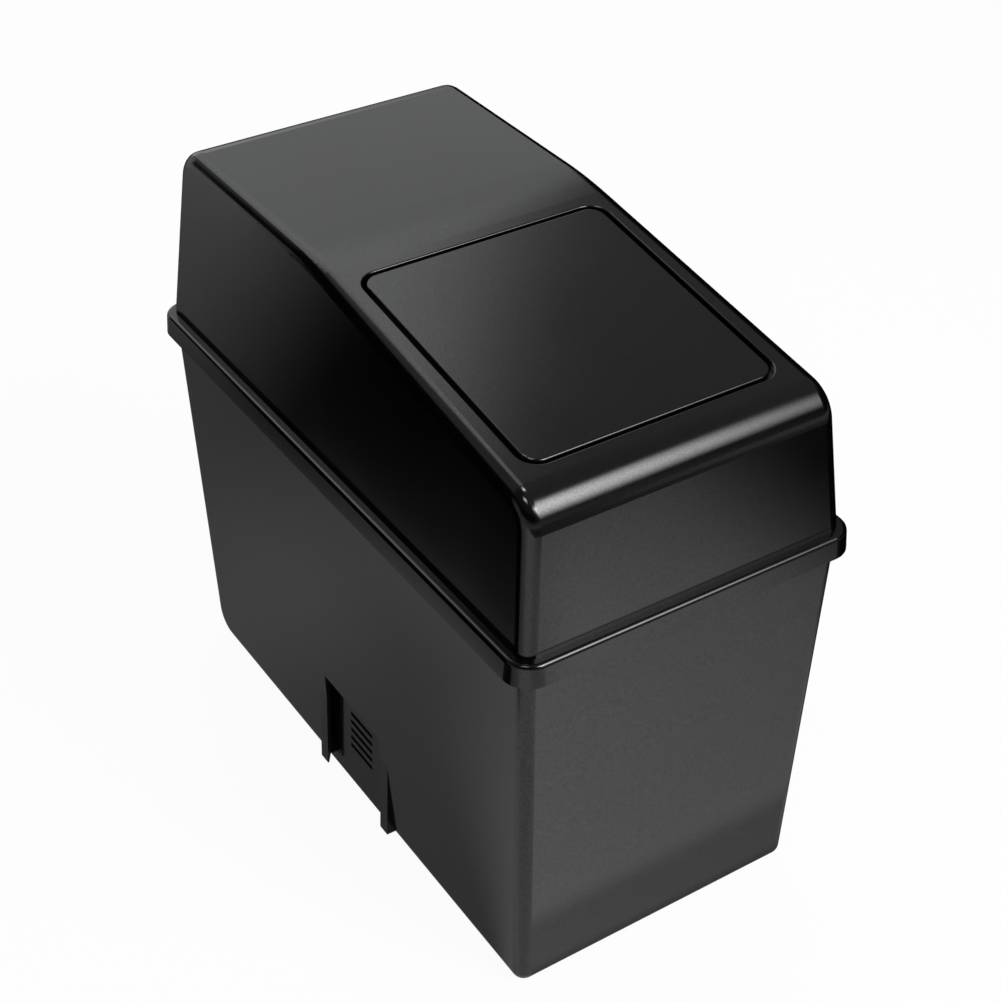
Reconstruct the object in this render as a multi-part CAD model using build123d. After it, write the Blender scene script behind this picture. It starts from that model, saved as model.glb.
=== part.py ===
from build123d import *
import math
import os

# Car waste bin: a tapered bucket, a hood that sits over its mouth and a sprung push flap.
# Millimetres, +Z up. The origin is the centre of the base, the short front end faces -Y,
# and the long side with the bracket channel faces -X.

# Hood, its outline taken where it stands on the rim
hood_w = 118.7
hood_l = 232.0
hood_h = 67.15             # from the top of the rim to the flat rear top
hood_wall = 2.0
hood_side_draft = 5.1
hood_front_draft = 6.0
hood_rear_draft = 7.4
hood_edge_r = 5.0          # upright corners and the long top edges, one continuous round
front_roll_r = 12.5
rear_roll_r = 12.1
crease_r = 160.0           # soft bend between the flat rear top and the slope
crease_y = 16.0
slope = 8.06

# Rim around the foot of the hood, with a skirt that reaches down over the bucket
rim_top = 147.15
rim_h = 7.8
rim_draft = 4.5
rim_edge_r = 1.5
rim_corner_r = 8.3
ledge_x = 3.2              # rim left showing beside the hood, along the sides
ledge_y = 3.3              # and at the two ends
ledge_t = 2.0
skirt_t = 2.0              # at the ledge

# Bucket
mouth_inset = 0.33         # bucket wall at the lower edge of the rim, in from the hood's outline
bin_side_draft = 1.33
bin_end_draft = 2.02
bin_wall = 2.0
bin_floor = 2.2
bin_edge_r = 4.4           # upright corners and lower edges
base_rear_r = 11.0         # lower edge at the rear end
bead_h = 4.0               # bead around the mouth that the skirt fits over
hood_clear = 0.4           # skirt around the bead, each side

# Bracket channel low on the -X side: two hooked rails over a recessed floor
channel_y = -3.0
channel_top = 42.8
lip_gap = 38.8
rail_w = 5.0
rail_wall = 1.1
rail_proud = 2.0           # at the base
rail_top = 32.4            # height where the rails run out into the wall
lip_t = 1.4
lip_tip = 0.5              # lip left at the base, where the lead-in behind it starts
lip_lead = 5.0             # height of that lead-in
floor_in_base = 1.4        # channel floor, in from the bucket wall at the base
floor_in_top = 4.2
slot_count = 5
slot_w = 15.4
slot_h = 1.7
slot_depth = 1.0
slot_pitch = 3.75
slot_low = 16.9            # height of the lowest slot

# Push flap and its opening in the slope
opening_side = 13.75       # from the hood's outline at the rim to each side of the opening
opening_l = 98.0
opening_r = 6.9
opening_from_crease = 16.0
opening_edge_r = 0.6
flap_gap = 1.3
flap_skin = 2.0
flap_edge_r = 0.7
stop_lap = 2.5             # lip of the flap that closes against the underside of the hood
stop_t = 1.4
stop_clear = 0.3
stop_band = 4.0            # width of the lip's band left inside the flap's outline
stop_setback = 7.5         # lip starts this far in front of the hinged edge

# Hinge and return spring
axis_depth = 7.0           # pin below the outer face of the slope
pin_d = 3.0
pin_fit = 0.02             # radial, in the hood's lugs
pin_run = 0.05             # radial, in the flap's arms
pin_end = 0.6              # pin past each lug
lug_inset = 11.6           # middle of each lug, in from the side of the opening
lug_t = 3.5
lug_r = 3.2
lug_root = 9.0
arm_w = 6.0
arm_root = 11.0
side_play = 0.3
wire_d = 0.9
coil_play = 0.5            # coil over the pin, radial
coil_turns = 6
coil_pitch = 1.05
rear_leg = 15.0
flap_leg = 18.0
pad_w = 4.0
pad_l = 6.0
pad_gap = 0.1
bite = 0.8                 # depth to which lugs, arms and pads run into the skin that carries them

# Values that follow
hood_top = rim_top + hood_h
rim_low = rim_top - rim_h
seat_z = rim_top - ledge_t
rim_w = hood_w + 2 * ledge_x
rim_l = hood_l + 2 * ledge_y
skirt_in_w = rim_w - 2 * skirt_t
skirt_in_l = rim_l - 2 * skirt_t
skirt_in_r = rim_corner_r - skirt_t
mouth_w = hood_w - 2 * mouth_inset
mouth_l = hood_l - 2 * mouth_inset
opening_w = hood_w - 2 * opening_side
lug_x = opening_w / 2 - lug_inset
slope_rad = math.radians(slope)
uphill = Vector(0, math.cos(slope_rad), math.sin(slope_rad))
outward = Vector(0, -math.sin(slope_rad), math.cos(slope_rad))
crease = Vector(0, crease_y, hood_top)
slope_plane = Plane(origin=crease, x_dir=(1, 0, 0), z_dir=outward)
flap_back = opening_from_crease + flap_gap
axis_point = crease - uphill * flap_back - outward * axis_depth
# In the hinge plane x runs uphill, y out of the slope and z along the pin
hinge_plane = Plane(origin=axis_point, x_dir=uphill, z_dir=(1, 0, 0))
hood_skin_low = axis_depth - hood_wall
flap_skin_low = axis_depth - flap_skin
pin_l = 2 * lug_x + lug_t + 2 * pin_end
coil_r = pin_d / 2 + coil_play + wire_d / 2
coil_l = coil_turns * coil_pitch
leg_top = coil_r + wire_d / 2 + pad_gap


def tangent(degrees):
    return math.tan(math.radians(degrees))


def nearest(edges, point):
    return sorted(edges, key=lambda edge: (edge.center() - Vector(point)).length)[0]


def rounded_slab(width, length, radius, low, high):
    return Pos(0, 0, low) * extrude(RectangleRounded(width, length, radius), high - low)


def bucket_half(z):
    # half width and half length of the bucket's outside at height z
    drop = rim_low - z
    return mouth_w / 2 - drop * tangent(bin_side_draft), mouth_l / 2 - drop * tangent(bin_end_draft)


def bucket_form(inset, low, high):
    # drafted block between two heights, every wall moved in by inset and the edges below the top rounded
    views = []
    for low_half, high_half in zip(bucket_half(low), bucket_half(high)):
        low_end = low_half - inset
        high_end = high_half - inset
        views.append([(-low_end, low), (low_end, low), (high_end, high), (-high_end, high)])
    end_view = make_face(Polyline(*[(x, 0, z) for x, z in views[0]], close=True))
    side_view = make_face(Polyline(*[(0, y, z) for y, z in views[1]], close=True))
    block = extrude(end_view, hood_l, dir=(0, 1, 0), both=True)
    block &= extrude(side_view, hood_w, dir=(1, 0, 0), both=True)
    front_point, rear_point = [(0, y, low) for y, z in views[1][:2]]
    rear_edge = nearest(block.edges().filter_by(Axis.X), rear_point)
    block = fillet(rear_edge, base_rear_r - inset)
    sides = block.faces().sort_by(Axis.X)
    outline = [e for e in sides[0].edges() + sides[-1].edges() if e.center().Z < high - bin_edge_r]
    outline.append(nearest(block.edges().filter_by(Axis.X), front_point))
    return fillet(outline, bin_edge_r - inset)


def side_prism(points, width):
    # upright prism from an outline in the XZ plane, centred on the channel
    face = make_face(Polyline(*[(x, 0, z) for x, z in points], close=True))
    return Pos(0, channel_y, 0) * extrude(face, width / 2, dir=(0, 1, 0), both=True)


def channel_line(base_offset, top_offset, heights, run):
    # points at these heights, set off from the bucket's -X wall; the offset changes up to height run
    points = []
    for z in heights:
        offset = base_offset + (top_offset - base_offset) * min(z / run, 1)
        points.append((offset - bucket_half(z)[0], z))
    return points


def channel_rails():
    heights = (0, rail_top)
    outer = channel_line(-rail_proud, 0, heights, rail_top)
    inner = channel_line(bin_edge_r, bin_edge_r, heights, rail_top)
    return side_prism(outer + inner[::-1], lip_gap + 2 * rail_w)


def channel_backing():
    # wall behind the recessed floor, standing into the bucket
    heights = (0, channel_top, channel_top + bin_wall)
    outer = channel_line(0, 0, heights, channel_top)
    inner = channel_line(floor_in_base + bin_wall, floor_in_top + bin_wall, heights, channel_top)
    return side_prism(outer + inner[::-1], lip_gap + 2 * rail_w)


def channel_space():
    low = -1.0
    clear = 2 * rail_proud
    ends = (low, channel_top)
    floor_line = channel_line(floor_in_base, floor_in_top, ends, channel_top)
    open_line = channel_line(-clear, -clear, ends, channel_top)
    mouth = side_prism(floor_line + open_line[::-1], lip_gap)
    lip_heights = (low, rail_top, channel_top)
    behind_lip = channel_line(lip_t - rail_proud, lip_t, lip_heights, rail_top)
    undercut_w = lip_gap + 2 * (rail_w - rail_wall)
    undercut = side_prism(floor_line + behind_lip[::-1], undercut_w)
    lead_base = channel_line(lip_tip - rail_proud, lip_t, [0], rail_top)
    lead_top = channel_line(lip_t - rail_proud, lip_t, [lip_lead], rail_top)
    lead = side_prism(behind_lip[:1] + lead_base + lead_top, undercut_w)
    return mouth + undercut + lead


def channel_slots():
    slots = []
    for index in range(slot_count):
        z = slot_low + index * slot_pitch
        floor_x = channel_line(floor_in_base, floor_in_top, [z], channel_top)[0][0]
        slots.append(Pos(floor_x, channel_y, z) * Box(2 * slot_depth, slot_w, slot_h))
    return slots


def make_bin_body():
    outside = bucket_form(0, 0, seat_z)
    bead_w = skirt_in_w - 2 * hood_clear
    bead_l = skirt_in_l - 2 * hood_clear
    bead = rounded_slab(bead_w, bead_l, skirt_in_r - hood_clear, seat_z - bead_h, seat_z)
    cavity = bucket_form(bin_wall, bin_floor, seat_z) - channel_backing()
    body = outside + bead + channel_rails()
    body -= cavity
    body -= channel_space()
    body -= channel_slots()
    return body


def hood_profile(inset):
    # side view as (y, z), every face moved in by inset, from the rim up
    front_low = -hood_l / 2 + inset / math.cos(math.radians(hood_front_draft))
    rear_low = hood_l / 2 - inset / math.cos(math.radians(hood_rear_draft))
    top = hood_top - inset
    bend = crease_y + inset * math.tan(slope_rad / 2)
    rise = tangent(slope)
    lean = tangent(hood_front_draft)
    # where the slope line meets the front line
    front_top = (front_low + lean * (top - rim_top - rise * bend)) / (1 - lean * rise)
    front_top_z = top + rise * (front_top - bend)
    rear_top = rear_low - (top - rim_top) * tangent(hood_rear_draft)
    front = [(front_low, rim_top), (front_top, front_top_z)]
    return front + [(bend, top), (rear_top, top), (rear_low, rim_top)]


def hood_form(inset):
    profile = hood_profile(inset)
    side_view = make_face(Polyline(*[(0, y, z) for y, z in profile], close=True))
    block = extrude(side_view, hood_w, dir=(1, 0, 0), both=True)
    low_half = hood_w / 2 - inset / math.cos(math.radians(hood_side_draft))
    top_half = low_half - hood_h * tangent(hood_side_draft)
    corners = [(-low_half, rim_top), (low_half, rim_top), (top_half, hood_top), (-top_half, hood_top)]
    end_view = make_face(Polyline(*[(x, 0, z) for x, z in corners], close=True))
    block &= extrude(end_view, hood_l, dir=(0, 1, 0), both=True)
    rounds = zip(profile[1:4], (front_roll_r, crease_r, rear_roll_r))
    for (y, z), radius in rounds:
        edge = nearest(block.edges().filter_by(Axis.X), (0, y, z))
        block = fillet(edge, radius - inset)
    sides = block.faces().sort_by(Axis.X)
    outline = [e for e in sides[0].edges() + sides[-1].edges() if e.center().Z > rim_top + inset]
    return fillet(outline, hood_edge_r - inset)


def hood_rim():
    # slab around the hood's foot, leaning outwards towards its lower edge
    grow = rim_h * tangent(rim_draft)
    low = Pos(0, 0, rim_low) * RectangleRounded(rim_w + 2 * grow, rim_l + 2 * grow, rim_corner_r + grow)
    high = Pos(0, 0, rim_top) * RectangleRounded(rim_w, rim_l, rim_corner_r)
    slab = loft([low, high])
    return fillet(slab.edges().group_by(Axis.Z)[-1], rim_edge_r)


def hood_inside():
    room = hood_form(hood_wall)
    mouth = extrude(room.faces().sort_by(Axis.Z)[0], 2 * ledge_t, dir=(0, 0, -1))
    skirt_room = rounded_slab(skirt_in_w, skirt_in_l, skirt_in_r, rim_low - skirt_t, seat_z)
    return room + mouth + skirt_room


def opening_slab(shrink, low, high):
    outline = RectangleRounded(opening_w - 2 * shrink, opening_l - 2 * shrink, opening_r - shrink)
    centre = -(opening_from_crease + opening_l / 2)
    return slope_plane * Pos(0, centre, low) * extrude(outline, high - low)


def hinge_blade(radius, root, thickness, centre_x):
    # round eye at the pin, drawn out to a straight root: a run of points along the carrying skin
    eye = Circle(radius)
    foot = Line(*root)
    blade = make_hull([eye.edge(), foot])
    return hinge_plane * Pos(0, 0, centre_x - thickness / 2) * extrude(blade, thickness)


def pin_bore(play):
    return hinge_plane * Cylinder(pin_d / 2 + play, pin_l + 2 * pin_end)


def spring_pad(reach, skin_low, centre_x):
    # block under a skin that the end of a spring leg bears on
    height = skin_low + bite - leg_top
    return hinge_plane * Pos(reach, leg_top + height / 2, centre_x) * Box(pad_l, height, pad_w)


def in_slope_face(edge):
    return abs(slope_plane.to_local_coords(edge.center()).Z) < hood_wall / 4


def round_slab_edges(shell, shrink, radius):
    # rounds the edges that a slab of the opening's outline leaves in the outer face of the slope
    middle = -(opening_from_crease + opening_l / 2)
    picked = []
    for edge in shell.edges().filter_by(in_slope_face):
        local = slope_plane.to_local_coords(edge.center())
        beside = abs(local.X) <= opening_w / 2 - shrink + radius
        along = abs(local.Y - middle) <= opening_l / 2 - shrink + radius
        if beside and along:
            picked.append(edge)
    return fillet(picked, radius)


def make_hood():
    shell = hood_form(0) + hood_rim() - hood_inside()
    shell -= opening_slab(0, -2 * axis_depth, axis_depth)
    shell = round_slab_edges(shell, 0, opening_edge_r)
    foot = flap_gap + opening_edge_r
    root = ((foot, hood_skin_low + bite), (foot + lug_root, hood_skin_low + bite))
    for side in (-1, 1):
        shell += hinge_blade(lug_r, root, lug_t, side * lug_x)
    shell += spring_pad(rear_leg - pad_l / 2, hood_skin_low, -coil_l / 2)
    return shell - pin_bore(pin_fit)


def make_flap():
    stop_high = -(hood_wall + stop_clear)
    stop_low = stop_high - stop_t
    panel = opening_slab(flap_gap, -flap_skin, 0)
    panel = round_slab_edges(panel, flap_gap, flap_edge_r)
    band = opening_slab(flap_gap, stop_low, -flap_skin) + opening_slab(-stop_lap, stop_low, stop_high)
    band -= opening_slab(flap_gap + stop_band, stop_low, -flap_skin)
    behind = hood_l / 2 - flap_back - stop_setback
    band -= slope_plane * Pos(0, behind, 0) * Box(hood_w, hood_l, 4 * axis_depth)
    panel += band
    root = ((-arm_root, flap_skin_low + bite), (-flap_edge_r, flap_skin_low + bite))
    arm_x = lug_x - lug_t / 2 - side_play - arm_w / 2
    for side in (-1, 1):
        panel += hinge_blade(lug_r, root, arm_w, side * arm_x)
    panel += spring_pad(pad_l / 2 - flap_leg, flap_skin_low, coil_l / 2)
    return panel - pin_bore(pin_run)


def make_hinge_pin():
    return hinge_plane * Cylinder(pin_d / 2, pin_l)


def make_return_spring():
    # both legs leave the coil at its top: the rear one bears on the hood, the front one on the flap
    coil = hinge_plane * Pos(0, 0, -coil_l / 2) * Rot(0, 0, 90) * Helix(coil_pitch, coil_l, coil_r)
    rear = Line(coil @ 0 - (coil % 0) * rear_leg, coil @ 0)
    front = Line(coil @ 1, coil @ 1 + (coil % 1) * flap_leg)
    path = Wire([rear, coil, front])
    section = Plane(origin=path @ 0, z_dir=path % 0) * Circle(wire_d / 2)
    return sweep(section, path=path, is_frenet=True)


os.makedirs("parts", exist_ok=True)
export_step(make_bin_body(), "parts/bin_body.step")
export_step(make_hood(), "parts/hood.step")
export_step(make_flap(), "parts/flap.step")
export_step(make_hinge_pin(), "parts/hinge_pin.step")
export_step(make_return_spring(), "parts/return_spring.step")
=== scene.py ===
import bpy
import math
import numpy as np
from mathutils import Matrix, Quaternion, Vector


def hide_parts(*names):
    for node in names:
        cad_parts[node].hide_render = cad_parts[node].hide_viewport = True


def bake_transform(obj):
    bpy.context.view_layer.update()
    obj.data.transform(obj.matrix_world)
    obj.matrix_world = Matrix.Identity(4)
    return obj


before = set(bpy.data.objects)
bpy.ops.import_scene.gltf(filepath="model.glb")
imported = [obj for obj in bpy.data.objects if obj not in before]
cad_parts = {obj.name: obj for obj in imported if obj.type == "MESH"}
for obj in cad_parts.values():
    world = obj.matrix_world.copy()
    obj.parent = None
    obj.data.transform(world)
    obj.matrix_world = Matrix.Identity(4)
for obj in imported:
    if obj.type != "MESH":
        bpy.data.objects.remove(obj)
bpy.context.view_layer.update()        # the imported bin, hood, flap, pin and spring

print("frame loaded:", ", ".join(sorted(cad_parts)))


def towards(azimuth, elevation):
    # unit vector: azimuth 0 points to the front (-Y), 90 to the right (+X)
    a, e = math.radians(azimuth), math.radians(elevation)
    return Vector((math.sin(a) * math.cos(e), -math.cos(a) * math.cos(e), math.sin(e)))


# camera, solved for the square 1002 x 1002 picture
cameraView = {
    "azimuth": -32.994,
    "elevation": 36.538,
    "roll": 0.157,
    "place": (-0.29311, -0.46417, 0.5155),
    "lens": 70.534,
    "sensor": 36,
    "clipStart": 0.01,
}


def makeCamera(view):
    data = bpy.data.cameras.new("photo_camera")
    data.sensor_width = view["sensor"]
    data.lens = view["lens"]
    data.clip_start = view["clipStart"]
    camera = bpy.data.objects.new("photo_camera", data)
    bpy.context.scene.collection.objects.link(camera)
    back = towards(view["azimuth"], view["elevation"])
    level = Vector((0, 0, 1)).cross(back).normalized()
    upright = back.cross(level)
    turn = math.radians(view["roll"])
    right = level * math.cos(turn) + upright * math.sin(turn)
    up = upright * math.cos(turn) - level * math.sin(turn)
    axes = Matrix((right, up, back)).transposed().to_4x4()
    camera.matrix_world = Matrix.Translation(view["place"]) @ axes
    bpy.context.scene.camera = camera


makeCamera(cameraView)
print("camera placed")


class NodeBench:
    # shorthand for laying out a node tree
    def __init__(self, tree):
        self.tree = tree
        tree.nodes.clear()

    def add(self, kind, inputs=None, **settings):
        node = self.tree.nodes.new(kind)
        for key, value in settings.items():
            setattr(node, key, value)
        for key, value in (inputs or {}).items():
            if isinstance(value, bpy.types.NodeSocket):
                self.tree.links.new(value, node.inputs[key])
            else:
                node.inputs[key].default_value = value
        return node

    def ramp(self, value, low, high, outLow=0.0, outHigh=1.0):
        # soft step: value from low to high becomes outLow to outHigh
        spread = {"Value": value, "From Min": low, "From Max": high, "To Min": outLow, "To Max": outHigh}
        return self.add("ShaderNodeMapRange", spread, interpolation_type="SMOOTHSTEP").outputs["Result"]

    def between(self, value, rise, fall):
        # up over one span and down again over the other
        return self.times(self.ramp(value, *rise), self.ramp(value, *fall))

    def join(self, operation, first, others):
        for other in others:
            first = self.add("ShaderNodeMath", {0: first, 1: other}, operation=operation).outputs[0]
        return first

    def times(self, first, *others):
        return self.join("MULTIPLY", first, others)

    def plus(self, first, *others):
        return self.join("ADD", first, others)

    def most(self, first, *others):
        return self.join("MAXIMUM", first, others)

    def heading(self, parts):
        # turn of a direction: 0 straight ahead (-Y), negative to the left
        ahead = self.times(parts["Y"], -1.0)
        return self.join("ARCTAN2", parts["X"], [ahead])

    def noise(self, place, scale, detail):
        inputs = {"Vector": place, "Scale": scale, "Detail": detail}
        return self.add("ShaderNodeTexNoise", inputs).outputs[0]

    def bump(self, height, depth):
        inputs = {"Height": height, "Strength": 1.0, "Distance": depth}
        return self.add("ShaderNodeBump", inputs).outputs[0]

    def principled(self, inputs):
        shader = self.add("ShaderNodeBsdfPrincipled", inputs).outputs[0]
        self.add("ShaderNodeOutputMaterial", {"Surface": shader})


def startMaterial(name):
    material = bpy.data.materials.new(name)
    material.use_nodes = True
    return material, NodeBench(material.node_tree)


# floor: a pale sheet, and a painted reflection of light and shadow that only the glossy plastic sees
# a span reads (from, to, level at from, level at to), or (from, to) for 0 to 1
# places are in metres and turns, about the near corner's foot, in radians
floorLook = {
    "half": 4.0,
    "drop": 0.0002,          # just under the bin, so the two never share a plane
    "tone": (0.82, 0.82, 0.83, 1),
    "whiteShare": 0.95,      # of the camera's view; the rest keeps the soft shadow
    "corner": (-0.0505, -0.111, 0),      # foot of the bin's near corner
    "split": (0.49, 0.57),   # turn where the left gives way to the front
    # painted reflection in front: a pool of painted light, with painted shade at the bin's foot
    "front": {
        "fall": -2.7,        # change of level per metre to the right
        "slant": (0.19, 0.225),          # the right edge turns this far in front, and leans so much
        "rightEdge": (0.25, 0.13),
        "nearRows": (-0.13, -0.23, 0.88, 1.08),
        "farRows": (-0.24, -0.33, 1.0, 1.62),
        # painted shade of the bin, close to its foot
        "contactShade": (-0.127, -0.136, 0.62, 1.0),
        "footShade": (-0.1105, -0.1165, 0.35, 1.0),
        "tableEnd": (-0.469, -0.439),
        "room": (-0.42, -0.95, 0.0, 0.42),
        "roomStart": (-0.42, -0.47, 0.0, 0.17),
        "underBin": (-0.095, -0.112),
    },
    # painted reflection at the left: the bin's painted shadow along its side, and the lit table beyond
    "left": {
        # painted shadow of the bin, along its long side
        "shade": (-2.84, -2.45, 0.185, 0.42),      # along the bin's long side
        "offCorner": (-2.45, -1.75, 0.0, 0.24),    # more of it off the near corner
        "further": (0.05, 0.27, 0.0, 0.45),        # and more with distance there
        "furtherTurn": (-1.8, -1.2),
        "rearRows": (0.02, 0.11, 1.0, 1.38),
        "lastRows": (0.11, 0.24, 1.0, 0.6),
        "contact": (-0.055, -0.10, 0.82, 1.0),     # close to the bin, up to a turn
        "contactTurn": (-2.3, -1.9),
        "end": (-0.205, -0.165, 0.0, 0.9),         # of the table, up to a turn
        "tail": (-0.29, -0.18, 0.0, 0.1),
        "endTurn": (-1.85, -1.55),
        "edgeLean": -0.6,
        "edge": (-0.54, -0.50, 0.15, 1.0),
        "wedges": (                      # two darker ones further out, each one's start and end
            (-2.3, -1.9, 0.0, -0.45), (-1.4, -0.95, 0.0, 0.45),
            (-0.6, -0.2, 0.0, -0.23), (0.2, 0.42, 0.0, 0.23),
        ),
        "wedgeReach": (0.10, 0.19),
        "roomLean": 1.2,
        "roomEdge": (-0.02, 0.17, 0.0, 0.52),
        "roomDepth": (-0.20, -0.38, 0.5, 1.0),
        "roomStart": (-0.15, -0.20),
    },
}


def paintedFrontReflection(bench, x, y, spans):
    # painted reflection: a bright pool of painted light that fades out to the right, painted shade at the
    # bin's foot, ending at the edge of the table
    start, lean = spans["slant"]
    slide = bench.plus(x, bench.times(bench.plus(y, start), lean))
    level = bench.plus(bench.times(x, spans["fall"]), 1.0)
    level = bench.times(level, bench.ramp(slide, *spans["rightEdge"]))
    for name in ("nearRows", "farRows", "contactShade", "footShade", "tableEnd"):
        level = bench.times(level, bench.ramp(y, *spans[name]))
    # then the painted light of the room in front of the table
    level = bench.most(level, bench.ramp(y, *spans["room"]), bench.ramp(y, *spans["roomStart"]))
    return bench.times(level, bench.ramp(y, *spans["underBin"]))


def paintedLeftReflection(bench, x, y, turn, reach, spans):
    # painted reflection: from a painted lit table off the near corner into the bin's painted shadow along
    # its side, then dark
    level = bench.plus(bench.ramp(turn, *spans["shade"]), bench.ramp(turn, *spans["offCorner"]))
    further = bench.times(bench.ramp(reach, *spans["further"]), bench.ramp(turn, *spans["furtherTurn"]))
    level = bench.times(level, bench.plus(further, 1.0))
    level = bench.times(level, bench.ramp(y, *spans["rearRows"]), bench.ramp(y, *spans["lastRows"]))
    contact = bench.most(bench.ramp(turn, *spans["contactTurn"]), bench.ramp(x, *spans["contact"]))
    end = bench.plus(bench.ramp(x, *spans["end"]), bench.ramp(x, *spans["tail"]))
    end = bench.most(bench.ramp(turn, *spans["endTurn"]), end)
    edge = bench.plus(y, bench.times(x, spans["edgeLean"]))
    level = bench.times(level, contact, end, bench.ramp(edge, *spans["edge"]))
    # the painted wedges are what the near corner's round picks up in reflection
    wedges = bench.plus(*[bench.ramp(turn, *span) for span in spans["wedges"]])
    wedges = bench.times(wedges, bench.ramp(reach, *spans["wedgeReach"]))
    level = bench.times(level, bench.plus(wedges, 1.0))
    # and the painted light of the room behind, past a slanted line
    slant = bench.plus(y, bench.times(x, spans["roomLean"]))
    room = bench.times(bench.ramp(slant, *spans["roomEdge"]), bench.ramp(x, *spans["roomDepth"]))
    return bench.most(level, bench.times(room, bench.ramp(x, *spans["roomStart"])))


def makeFloor(look):
    # square sheet: corners are (+-half, +-half) at one height
    sides = np.array([(-1, -1), (1, -1), (1, 1), (-1, 1)]) * look["half"]
    corners = np.column_stack([sides, np.full(4, -look["drop"])])
    mesh = bpy.data.meshes.new("studio_floor")
    mesh.from_pydata(corners.tolist(), [], [(0, 1, 2, 3)])
    floor = bpy.data.objects.new("studio_floor", mesh)
    bpy.context.scene.collection.objects.link(floor)

    material, bench = startMaterial("studio_floor")
    ray = bench.add("ShaderNodeLightPath").outputs
    spot = bench.add("ShaderNodeTexCoord").outputs["Object"]
    place = bench.add("ShaderNodeSeparateXYZ", {"Vector": spot}).outputs
    x, y = place["X"], place["Y"]
    fromCorner = {0: spot, 1: look["corner"]}
    offset = bench.add("ShaderNodeVectorMath", fromCorner, operation="SUBTRACT").outputs[0]
    reach = bench.add("ShaderNodeVectorMath", {0: offset}, operation="LENGTH").outputs["Value"]
    turn = bench.heading(bench.add("ShaderNodeSeparateXYZ", {"Vector": offset}).outputs)

    # painted reflection of light and shadow, front and left, blended at the split turn
    front = bench.times(paintedFrontReflection(bench, x, y, look["front"]), bench.ramp(turn, *look["split"]))
    left = paintedLeftReflection(bench, x, y, turn, reach, look["left"])
    left = bench.times(left, bench.ramp(turn, *reversed(look["split"])))
    paintedReflectionLevel = bench.plus(front, left)

    sheet = bench.add("ShaderNodeBsdfDiffuse", {"Color": look["tone"]}).outputs[0]
    white = bench.add("ShaderNodeEmission", {"Strength": 1.0}).outputs[0]
    # glossy rays see this painted reflection as emission, not a lit floor
    paintedReflection = bench.add("ShaderNodeEmission", {"Strength": paintedReflectionLevel}).outputs[0]
    share = bench.times(ray["Is Camera Ray"], look["whiteShare"])
    seen = bench.add("ShaderNodeMixShader", {0: share, 1: sheet, 2: white}).outputs[0]
    both = bench.add("ShaderNodeMixShader", {0: ray["Is Glossy Ray"], 1: seen, 2: paintedReflection}).outputs[0]
    bench.add("ShaderNodeOutputMaterial", {"Surface": both})
    mesh.materials.append(material)


makeFloor(floorLook)
print("floor laid")


# lamps: a softbox in front on the right, a wide leaning one behind, a card at the left and a spot overhead
# a cloth fades across (fadeX) and upwards (fadeY) as dark, full, full, dark
plainCloth = {
    "lean": 0,
    "fadeX": (0.0, 0.2, 0.8, 1.0),
    "fadeY": (0.0, 0.2, 0.8, 1.0),
    "lift": (0.22, 0.68, 1.0, 1.0),      # level, from the lower part to the upper
    "flare": (0.47, 0.66, 0.0, 0.0),     # how far the upper part reaches out at one side
    "colour": (1.0, 1.0, 1.0),
}
softboxes = {
    "front_softbox": {
        **plainCloth,
        "azimuth": 38, "elevation": 36.5, "away": 1.082, "size": (1.017, 0.92), "radiance": 14.7,
        "fadeX": (0.0, 0.065, 0.135, 0.80), "fadeY": (-0.04, 0.61, 0.68, 0.945),
    },
    "rear_softbox": {
        **plainCloth,
        "azimuth": 171, "elevation": 33.3, "away": 1.2, "size": (1.48, 1.24), "radiance": 0.73,
        "lean": -30, "fadeX": (0.062, 0.212, 0.85, 0.95), "fadeY": (0.0, 0.06, 0.93, 1.0),
        "lift": (0.22, 0.68, 1.0, 1.53), "flare": (0.47, 0.66, 0.0, 0.03), "colour": (0.975, 0.988, 1.0),
    },
    "left_card": {
        **plainCloth,
        "azimuth": -55, "elevation": 65, "away": 1.2, "size": (0.36, 0.26), "radiance": 8.0,
    },
    "top_spot": {
        **plainCloth,
        "azimuth": 145, "elevation": 76, "away": 1.2, "size": (0.26, 0.26), "radiance": 11.0,
    },
}
aimPoint = Vector((0, -0.05, 0.2))
wattsPerRadiance = 4         # of an area lamp, for each square metre


def makeSoftbox(name, box):
    lamp = bpy.data.lights.new(name, "AREA")
    lamp.shape = "RECTANGLE"
    lamp.size, lamp.size_y = box["size"]
    lamp.color = box["colour"]
    lamp.energy = wattsPerRadiance * box["radiance"] * lamp.size * lamp.size_y
    lamp.use_nodes = True
    bench = NodeBench(lamp.node_tree)
    cloth = bench.add("ShaderNodeNewGeometry").outputs["Parametric"]
    place = bench.add("ShaderNodeSeparateXYZ", {"Vector": cloth}).outputs
    across, upward = place["X"], place["Y"]
    flared = bench.plus(across, bench.ramp(upward, *box["flare"]))
    wide, tall = box["fadeX"], box["fadeY"]
    level = bench.times(
        bench.ramp(upward, *box["lift"]),
        bench.ramp(flared, wide[0], wide[1]), bench.ramp(across, wide[3], wide[2]),
        bench.ramp(upward, tall[0], tall[1]), bench.ramp(upward, tall[3], tall[2]),
    )
    shine = bench.add("ShaderNodeEmission", {"Strength": level}).outputs[0]
    bench.add("ShaderNodeOutputLight", {"Surface": shine})

    holder = bpy.data.objects.new(name, lamp)
    bpy.context.scene.collection.objects.link(holder)
    away = towards(box["azimuth"], box["elevation"])
    holder.location = aimPoint + away * box["away"]
    lean = Quaternion((0, 0, 1), math.radians(box["lean"]))
    holder.rotation_euler = (away.to_track_quat("Z", "Y") @ lean).to_euler()


for boxName, boxLook in softboxes.items():
    makeSoftbox(boxName, boxLook)

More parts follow.
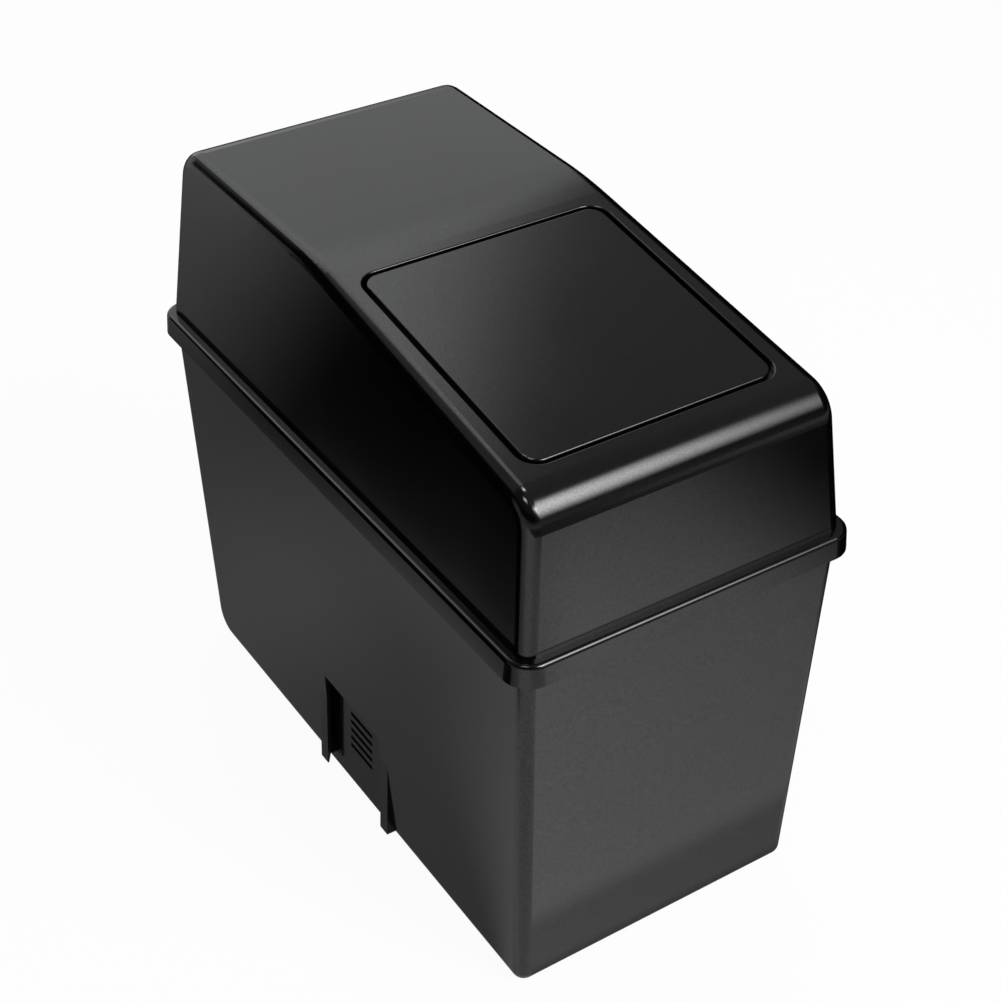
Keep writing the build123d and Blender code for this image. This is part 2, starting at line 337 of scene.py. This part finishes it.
# room around the table, by direction: height Z, turn, and how far right X or back Y
roomLight = {
    "tint": (0.995, 0.997, 1.0, 1),
    "white": (1, 1, 1, 1),
    "upper": (0.50, 0.68, 0.0, 0.27),
    "overhead": (0.72, 0.88, 1.0, 0.95),
    "upperRight": (-0.3, 0.1),
    "upperRear": (0.3, 0.55, 0.3, 1.2),
    "low": (0.32, 0.08, 0.0, 0.40),
    "lowArc": ((-2.15, -1.85), (0.75, 0.35)),
    "left": (0.46, 0.2, 0.0, 0.36),
    "leftArc": ((-2.1, -1.9), (-1.5, -1.7)),
    "rear": (0.35, 0.15, 0.0, 0.50),
    "rearDepth": (0.8, 0.9),
    "rearLeft": (0.5, 0.3, 0.0, 0.60),
    "rearLeftAcross": ((-0.52, -0.42), (-0.14, -0.30)),
    "rearLeftDepth": (0.66, 0.74),
}


def makeRoom(look):
    world = bpy.data.worlds.new("studio_room")
    bpy.context.scene.world = world
    world.use_nodes = True
    bench = NodeBench(world.node_tree)
    ray = bench.add("ShaderNodeLightPath").outputs
    direction = bench.add("ShaderNodeTexCoord").outputs["Generated"]
    way = bench.add("ShaderNodeSeparateXYZ", {"Vector": direction}).outputs
    x, y, z = way["X"], way["Y"], way["Z"]
    turn = bench.heading(way)
    # pale from about 35 degrees up, brightest behind and dim at the front left
    around = bench.most(bench.ramp(x, *look["upperRight"]), bench.ramp(y, *look["upperRear"]))
    upper = bench.times(bench.ramp(z, *look["upper"]), bench.ramp(z, *look["overhead"]), around)
    # a low band of light in front and on the left, and one behind; the right stays dark
    low = bench.times(bench.ramp(z, *look["low"]), bench.between(turn, *look["lowArc"]))
    left = bench.times(bench.ramp(z, *look["left"]), bench.between(turn, *look["leftArc"]))
    rear = bench.times(bench.ramp(z, *look["rear"]), bench.ramp(y, *look["rearDepth"]))
    across = bench.between(x, *look["rearLeftAcross"])
    rearLeft = bench.times(bench.ramp(z, *look["rearLeft"]), across, bench.ramp(y, *look["rearLeftDepth"]))
    level = bench.most(upper, low, left, rear, rearLeft)
    dim = bench.add("ShaderNodeBackground", {"Color": look["tint"], "Strength": level}).outputs[0]
    white = bench.add("ShaderNodeBackground", {"Color": look["white"], "Strength": 1.0}).outputs[0]
    both = bench.add("ShaderNodeMixShader", {0: ray["Is Camera Ray"], 1: dim, 2: white}).outputs[0]
    bench.add("ShaderNodeOutputWorld", {"Surface": both})


makeRoom(roomLight)
bpy.context.scene.view_settings.view_transform = "Standard"
print("lights set")


noiseSpan = (0.3, 0.7)       # where most of a noise lies

# moulded plastics: black through and through, with a fine spark-eroded grain from the tool
hoodFinish = {
    "colour": (0.0013, 0.0013, 0.0014, 1),
    "rough": (0.11, 0.15),
    "cloud": 28.0,           # slow patches of the roughness, per metre
    "grain": 0.0006,
    "depth": 0.000005,       # of the grain
    "glint": (0.43, 0.57),   # the grain glints unevenly
    "ior": 1.5,
}
plastics = {
    "bin_plastic": {
        **hoodFinish,
        "colour": (0.005, 0.005, 0.0053, 1), "grain": 0.0008, "depth": 0.000007, "glint": (0.405, 0.595),
    },
    "hood_plastic": hoodFinish,
    "flap_plastic": hoodFinish,
}


def makePlastic(name, look):
    material, bench = startMaterial(name + "_look")
    spot = bench.add("ShaderNodeTexCoord").outputs["Object"]
    grain = bench.noise(spot, 1 / look["grain"], detail=2.0)
    cloud = bench.noise(spot, look["cloud"], detail=3.0)
    bench.principled({
        "Base Color": look["colour"],
        "Roughness": bench.ramp(cloud, *noiseSpan, *look["rough"]),
        "Specular IOR Level": bench.ramp(grain, *noiseSpan, *look["glint"]),
        "IOR": look["ior"],
        "Normal": bench.bump(grain, look["depth"]),
    })
    return material


for nodeName, slotName in (("bin_body", "bin_plastic"), ("hood", "hood_plastic"), ("flap", "flap_plastic")):
    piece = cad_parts[nodeName]
    piece.material_slots[0].material = makePlastic(slotName, plastics[slotName])
print("plastics on")


# steels inside: the ground pin and the drawn spring wire
steels = {
    "pin_steel": {
        "colour": (0.56, 0.56, 0.57, 1), "rough": (0.16, 0.30),
        "stretch": (9000, 300, 300), "depth": 0.000004,
    },
    "spring_steel": {
        "colour": (0.40, 0.40, 0.41, 1), "rough": (0.22, 0.40),
        "stretch": (700, 2600, 2600), "depth": 0.000004,
    },
}


def makeSteel(name, look):
    # fine tool marks: noise stretched along one direction, in roughness and height
    material, bench = startMaterial(name + "_look")
    spot = bench.add("ShaderNodeTexCoord").outputs["Object"]
    stretched = {0: spot, 1: look["stretch"]}
    drawn = bench.add("ShaderNodeVectorMath", stretched, operation="MULTIPLY").outputs[0]
    marks = bench.noise(drawn, 1.0, detail=3.0)
    bench.principled({
        "Base Color": look["colour"],
        "Metallic": 1.0,
        "Roughness": bench.ramp(marks, *noiseSpan, *look["rough"]),
        "Normal": bench.bump(marks, look["depth"]),
    })
    return material


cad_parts["hinge_pin"].material_slots[0].material = makeSteel("pin_steel", steels["pin_steel"])

# return spring: one wire, from the leg under the hood through the coil to the leg under the flap
springWire = {
    "slope": 8.06,           # degrees, as the flap lies
    "coilRadius": 0.00245,
    "wireRadius": 0.00045,
    "turns": 6,
    "pitch": 0.00105,
    "rearLeg": 0.015,
    "flapLeg": 0.018,
    "stepsPerTurn": 40,
    "legSteps": 12,
    "sides": 12,
}


def makeSpring(wire):
    pinBox = np.array([corner[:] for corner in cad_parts["hinge_pin"].bound_box])
    pinMiddle = pinBox.mean(axis=0)      # the coil sits here
    length = wire["turns"] * wire["pitch"]
    # u uphill, v out of the slope, w along the pin: the coil is minus the sine and the cosine of the turn
    # times its radius, while it moves evenly along the pin, so it starts and ends at its top
    turn = np.linspace(0, 2 * np.pi * wire["turns"], wire["turns"] * wire["stepsPerTurn"] + 1)
    u = -wire["coilRadius"] * np.sin(turn)
    v = wire["coilRadius"] * np.cos(turn)
    w = length * (turn / turn[-1] - 0.5)
    coil = np.column_stack([u, v, w])
    # legs run off straight along the coil's end tangents
    out = np.linspace(0, 1, wire["legSteps"] + 1)[1:, None]
    first = (coil[0] - coil[1]) / np.linalg.norm(coil[0] - coil[1])
    last = (coil[-1] - coil[-2]) / np.linalg.norm(coil[-1] - coil[-2])
    rear = coil[0] + first * wire["rearLeg"] * out
    front = coil[-1] + last * wire["flapLeg"] * out
    path = np.vstack([rear[::-1], coil, front])

    a = math.radians(wire["slope"])
    axes = np.array([(0, math.cos(a), math.sin(a)), (0, -math.sin(a), math.cos(a)), (1, 0, 0)])
    path = path @ axes + pinMiddle
    # skin: each path point plus the wire's radius times the cosine of an angle to one side and its sine
    # to the other, both square to the path there
    along = np.gradient(path, axis=0)
    along /= np.linalg.norm(along, axis=1, keepdims=True)
    side = np.cross(along, axes[2])
    side /= np.linalg.norm(side, axis=1, keepdims=True)
    over = np.cross(along, side)
    sides = wire["sides"]
    angle = np.linspace(0, 2 * np.pi, sides, endpoint=False)[None, :, None]
    ring = np.cos(angle) * side[:, None, :] + np.sin(angle) * over[:, None, :]
    points = (path[:, None, :] + wire["wireRadius"] * ring).reshape(-1, 3)
    # each ring is joined to the next by four-sided faces
    rows = np.arange(len(path) - 1)[:, None] * sides
    here = np.arange(sides)[None, :]
    there = (here + 1) % sides
    skin = np.stack([rows + here, rows + there, rows + sides + there, rows + sides + here], axis=2)
    faces = skin.reshape(-1, 4).tolist()
    start = list(range(sides))
    end = [len(points) - sides + i for i in start]
    faces += [start[::-1], end]       # cut ends of the wire

    mesh = bpy.data.meshes.new("return_spring_wire")
    mesh.from_pydata(points.tolist(), [], faces)
    mesh.polygons.foreach_set("use_smooth", np.ones(len(faces), dtype=bool))
    mesh.polygons[-1].use_smooth = False
    mesh.polygons[-2].use_smooth = False
    spring = bpy.data.objects.new("return_spring_wire", mesh)
    bpy.context.scene.collection.objects.link(spring)
    mesh.materials.append(makeSteel("spring_steel", steels["spring_steel"]))
    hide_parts("return_spring")
    # the coil winds up between the hood's leg and the flap's
    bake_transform(spring)


makeSpring(springWire)
print("pin and spring on")
